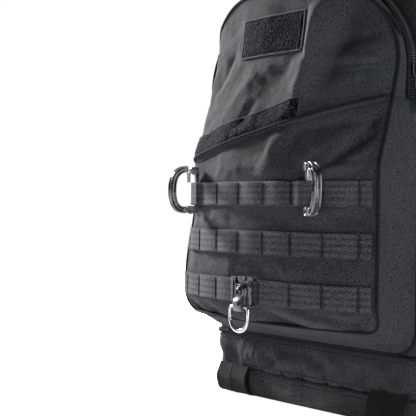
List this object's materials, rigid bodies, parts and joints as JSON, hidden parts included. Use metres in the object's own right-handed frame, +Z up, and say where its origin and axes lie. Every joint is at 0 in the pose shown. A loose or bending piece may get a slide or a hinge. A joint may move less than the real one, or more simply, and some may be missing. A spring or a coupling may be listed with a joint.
{
  "type": "trauma backpack",
  "caption": "Black first responder backpack with clamshell front half, zipped front pocket, webbing rows, locking D-rings and a swivel clip with steel ring.",
  "frame": {"origin": "on the floor under the middle of the boot's flat bottom", "axes": "+Z up, the pack's front faces -Y, its back panel faces the wearer at +Y, +X is the right side of someone looking at its front"},
  "size_m": [0.3528, 0.3407, 0.511],
  "materials": {
    "nylon": "matte",
    "padding": "matte",
    "webbing": "matte",
    "hook_loop": "matte",
    "polymer": "satin",
    "steel": "gloss",
    "aluminium": "satin",
    "board": "matte"
  },
  "bodies": {
    "rear_half": {"rear_shell": "nylon", "base_boot": "nylon", "frame_sheet": "board", "stay_left": "aluminium", "stay_right": "aluminium", "hydration_sleeve": "nylon", "back_pad_left": "padding", "back_pad_right": "padding", "lumbar_pad": "padding", "shoulder_strap_left": "padding", "shoulder_strap_right": "padding", "strap_adjuster_left": "polymer", "strap_adjuster_right": "polymer", "lower_webbing_left": "webbing", "lower_webbing_right": "webbing", "haul_handle": "webbing", "lash_strap_left": "webbing", "lash_strap_right": "webbing", "compression_socket_left": "polymer", "compression_socket_right": "polymer", "main_zip_rear": "polymer"},
    "front_half": {"front_shell": "nylon", "main_zip_front": "polymer", "compression_strap_left": "webbing", "compression_strap_right": "webbing", "compression_plug_left": "polymer", "compression_plug_right": "polymer", "pocket_shell": "nylon", "pocket_gusset": "nylon", "pals_row_1": "webbing", "pals_row_2": "webbing", "pals_row_3": "webbing", "clip_base": "polymer", "clip_screw": "steel"},
    "pocket_flap": {"pocket_flap": "nylon", "loop_patch": "hook_loop", "loop_strip": "hook_loop"},
    "dring_left": {"dring_left_spine": "polymer"},
    "dring_left_bow": {"dring_left_bow": "polymer"},
    "dring_left_latch": {"dring_left_latch": "polymer"},
    "dring_right": {"dring_right_spine": "polymer"},
    "dring_right_bow": {"dring_right_bow": "polymer"},
    "dring_right_latch": {"dring_right_latch": "polymer"},
    "clip_swivel": {"clip_swivel": "polymer"},
    "clip_ring": {"clip_ring": "steel"},
    "main_slider_left": {"main_slider_left": "steel"},
    "main_slider_right": {"main_slider_right": "steel"},
    "pocket_slider": {"pocket_slider": "steel"},
    "sternum_strap": {"sternum_webbing_left": "webbing", "sternum_socket": "polymer", "sternum_webbing_right": "webbing"},
    "sternum_plug": {"sternum_plug": "polymer"},
    "hip_wing_left": {"hip_wing_left": "padding", "hip_socket": "polymer"},
    "hip_wing_right": {"hip_wing_right": "padding", "hip_plug": "polymer"}
  },
  "joints": [
    {"name": "front_half_fold", "type": "hinge", "parent": "rear_half", "child": "front_half", "pos_m": [0, -0.054, 0.073], "axis": [1, 0, 0], "range_deg": [0, 60]},
    {"name": "pocket_flap_fold", "type": "hinge", "parent": "front_half", "child": "pocket_flap", "pos_m": [0, -0.133, 0.298], "axis": [0.9795, 0, 0.2013], "range_deg": [0, 60]},
    {"name": "dring_left_swing", "type": "hinge", "parent": "front_half", "child": "dring_left", "pos_m": [-0.1035, -0.1295, 0.2383], "axis": [0, 0, 1], "range_deg": [-30, 40]},
    {"name": "dring_left_open", "type": "hinge", "parent": "dring_left", "child": "dring_left_bow", "pos_m": [-0.10619, -0.13809, 0.2163], "axis": [0.9542, -0.2991, 0], "range_deg": [0, 45]},
    {"name": "dring_left_release", "type": "slide", "parent": "dring_left", "child": "dring_left_latch", "axis": [0, 0, -1], "range_m": [0, 0.003], "stiffness_N_per_m": 200, "springref_m": -0.001},
    {"name": "dring_right_swing", "type": "hinge", "parent": "front_half", "child": "dring_right", "pos_m": [0.07711, -0.13627, 0.2383], "axis": [0, 0, 1], "range_deg": [-88, 0]},
    {"name": "dring_right_open", "type": "hinge", "parent": "dring_right", "child": "dring_right_bow", "pos_m": [0.08522, -0.14015, 0.2163], "axis": [0.432, 0.9019, 0], "range_deg": [0, 45]},
    {"name": "dring_right_release", "type": "slide", "parent": "dring_right", "child": "dring_right_latch", "axis": [0, 0, -1], "range_m": [0, 0.003], "stiffness_N_per_m": 200, "springref_m": -0.001},
    {"name": "clip_swivel_turn", "type": "hinge", "parent": "front_half", "child": "clip_swivel", "pos_m": [0, -0.14, 0.1327], "axis": [0, -1, 0], "continuous": true},
    {"name": "clip_ring_swing", "type": "hinge", "parent": "clip_swivel", "child": "clip_ring", "pos_m": [0, -0.1549, 0.1177], "axis": [1, 0, 0], "range_deg": [-80, 20]},
    {"name": "main_slider_left_run", "type": "slide", "parent": "rear_half", "child": "main_slider_left", "axis": [0, 0, -1], "range_m": [0, 0.22]},
    {"name": "main_slider_right_run", "type": "slide", "parent": "rear_half", "child": "main_slider_right", "axis": [0, 0, -1], "range_m": [0, 0.22]},
    {"name": "pocket_slider_run", "type": "hinge", "parent": "front_half", "child": "pocket_slider", "pos_m": [0.054, -0.064, 0.356], "axis": [0, -1, 0], "range_deg": [0, 88]},
    {"name": "sternum_height", "type": "slide", "parent": "rear_half", "child": "sternum_strap", "axis": [0, 0, 1], "range_m": [-0.04, 0.03]},
    {"name": "sternum_plug_release", "type": "slide", "parent": "sternum_strap", "child": "sternum_plug", "axis": [1, 0, 0], "range_m": [0, 0.018]},
    {"name": "hip_wing_left_swing", "type": "hinge", "parent": "rear_half", "child": "hip_wing_left", "pos_m": [-0.1405, 0.095, 0.09], "axis": [0, 0, 1], "range_deg": [0, 90]},
    {"name": "hip_wing_right_swing", "type": "hinge", "parent": "rear_half", "child": "hip_wing_right", "pos_m": [0.1405, 0.095, 0.09], "axis": [0, 0, -1], "range_deg": [0, 90]}
  ]
}
